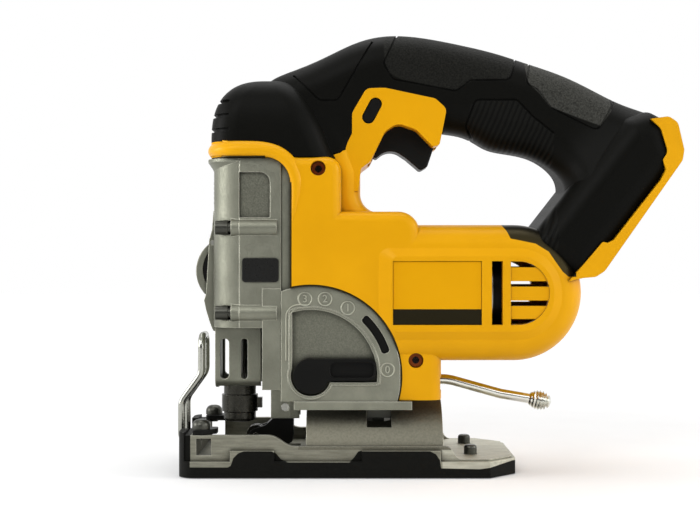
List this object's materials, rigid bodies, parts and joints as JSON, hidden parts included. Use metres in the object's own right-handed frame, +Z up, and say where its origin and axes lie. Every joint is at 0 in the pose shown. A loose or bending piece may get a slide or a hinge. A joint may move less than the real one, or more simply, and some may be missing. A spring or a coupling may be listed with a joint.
{
  "type": "cordless jigsaw",
  "caption": "Cordless D-handle jigsaw, bare tool, with tilting shoe, orbit selector, trigger, wire guard and a slanted battery rail at the rear of the handle.",
  "frame": {"origin": "on the sole's underside, under the middle of the tool's length, in its middle plane", "axes": "+X from the blade end to the battery foot, +Y to the tool's right side, +Z up"},
  "size_m": [0.2434, 0.077, 0.2136],
  "materials": {
    "yellow_shell": "satin moulded plastic",
    "black_grip": "soft textured overmould",
    "cast_alloy": "die-cast, matt",
    "black_plastic": "moulded plastic",
    "bare_plate": "plain plate",
    "shoe_alloy": "cast, brushed on top",
    "chrome_wire": "plated",
    "dark_steel": "blackened screws",
    "steel": "ground steel",
    "bronze": "sintered bronze and copper",
    "carbon": "carbon blocks"
  },
  "bodies": {
    "tool_body": {"left_housing": "yellow_shell", "right_housing": "yellow_shell", "left_overmould": "black_grip", "right_overmould": "black_grip", "front_cover": "cast_alloy", "mid_case": "cast_alloy", "rear_case": "cast_alloy", "vent_insert": "black_plastic", "case_screws": "dark_steel", "housing_screws": "dark_steel", "left_plate": "bare_plate", "right_plate": "bare_plate", "case_badge": "bare_plate", "motor_can": "steel", "end_bell": "black_plastic", "brushes": "carbon", "front_bearing": "steel", "rear_bearing": "steel", "gear_axle": "steel", "upper_bush": "bronze", "lower_bush": "bronze", "fork_pin": "steel", "clamp_bolt": "dark_steel", "clamp_plate": "dark_steel", "release_pin": "steel", "switch_module": "black_plastic", "terminal_block": "black_plastic", "terminal_blades": "bronze"},
    "trigger_body": {"trigger": "black_plastic"},
    "lock_body": {"lock_button": "black_plastic"},
    "selector_body": {"orbit_selector": "black_plastic", "selector_shaft": "steel"},
    "release_body": {"release_lever": "cast_alloy", "release_pads": "black_plastic"},
    "plunger_body": {"plunger_rod": "steel", "yoke": "steel", "blade_clamp": "steel"},
    "collar_body": {"clamp_collar": "steel"},
    "armature_body": {"armature_core": "steel", "commutator": "bronze", "motor_shaft": "steel", "pinion": "steel", "fan": "black_plastic"},
    "gear_body": {"drive_gear": "steel", "crank_pin": "steel"},
    "fork_body": {"orbit_fork": "black_plastic", "roller_pin": "steel"},
    "roller_body": {"guide_roller": "steel"},
    "shoe_body": {"shoe": "shoe_alloy", "shoe_cover": "black_plastic", "shoe_screws": "dark_steel", "left_bracket": "black_plastic", "right_bracket": "black_plastic", "guide_screws": "dark_steel", "wire_guard": "chrome_wire"},
    "lever_body": {"bevel_lever": "chrome_wire", "lever_knob": "black_plastic"}
  },
  "joints": [
    {"name": "trigger_pull", "type": "slide", "parent": "tool_body", "child": "trigger_body", "axis": [0.4695, 0, 0.8829], "range_m": [0, 0.0065], "stiffness_N_per_m": 600, "springref_m": -0.003},
    {"name": "lock_slide", "type": "slide", "parent": "tool_body", "child": "lock_body", "axis": [0, 1, 0], "range_m": [-0.004, 0]},
    {"name": "orbit_selector_turn", "type": "hinge", "parent": "tool_body", "child": "selector_body", "pos_m": [-0.0557, -0.027, 0.0471], "axis": [0, -1, 0], "range_deg": [0, 90]},
    {"name": "blade_release", "type": "hinge", "parent": "tool_body", "child": "release_body", "pos_m": [-0.1042, 0, 0.111], "axis": [0, 1, 0], "range_deg": [0, 55], "stiffness_Nm_per_rad": 0.05, "springref_deg": -17.19},
    {"name": "plunger_stroke", "type": "slide", "parent": "tool_body", "child": "plunger_body", "axis": [0, 0, 1], "range_m": [0, 0.026]},
    {"name": "clamp_collar_turn", "type": "hinge", "parent": "plunger_body", "child": "collar_body", "pos_m": [-0.092, 0, 0.0315], "axis": [0, 0, 1], "range_deg": [0, 35], "stiffness_Nm_per_rad": 0.03, "springref_deg": -5.73},
    {"name": "armature_spin", "type": "hinge", "parent": "tool_body", "child": "armature_body", "pos_m": [0, 0, 0.08675], "axis": [1, 0, 0], "continuous": true},
    {"name": "gear_spin", "type": "hinge", "parent": "tool_body", "child": "gear_body", "pos_m": [-0.0765, 0, 0.11075], "axis": [1, 0, 0], "continuous": true},
    {"name": "orbit_fork_swing", "type": "hinge", "parent": "tool_body", "child": "fork_body", "pos_m": [-0.069, 0, 0.03], "axis": [0, 1, 0], "range_deg": [-3, 3], "stiffness_Nm_per_rad": 2},
    {"name": "guide_roller_spin", "type": "hinge", "parent": "fork_body", "child": "roller_body", "pos_m": [-0.0836, 0, 0.0155], "axis": [0, 1, 0], "continuous": true},
    {"name": "shoe_bevel", "type": "hinge", "parent": "tool_body", "child": "shoe_body", "pos_m": [-0.025, 0, 0.003], "axis": [1, 0, 0], "range_deg": [-45, 45]},
    {"name": "bevel_lever_swing", "type": "hinge", "parent": "tool_body", "child": "lever_body", "pos_m": [-0.023, 0, 0.043], "axis": [0, 0, -1], "range_deg": [0, 35]}
  ],
  "couplings": [
    {"joint": "gear_spin", "follows": "armature_spin", "ratio": -0.25}
  ]
}
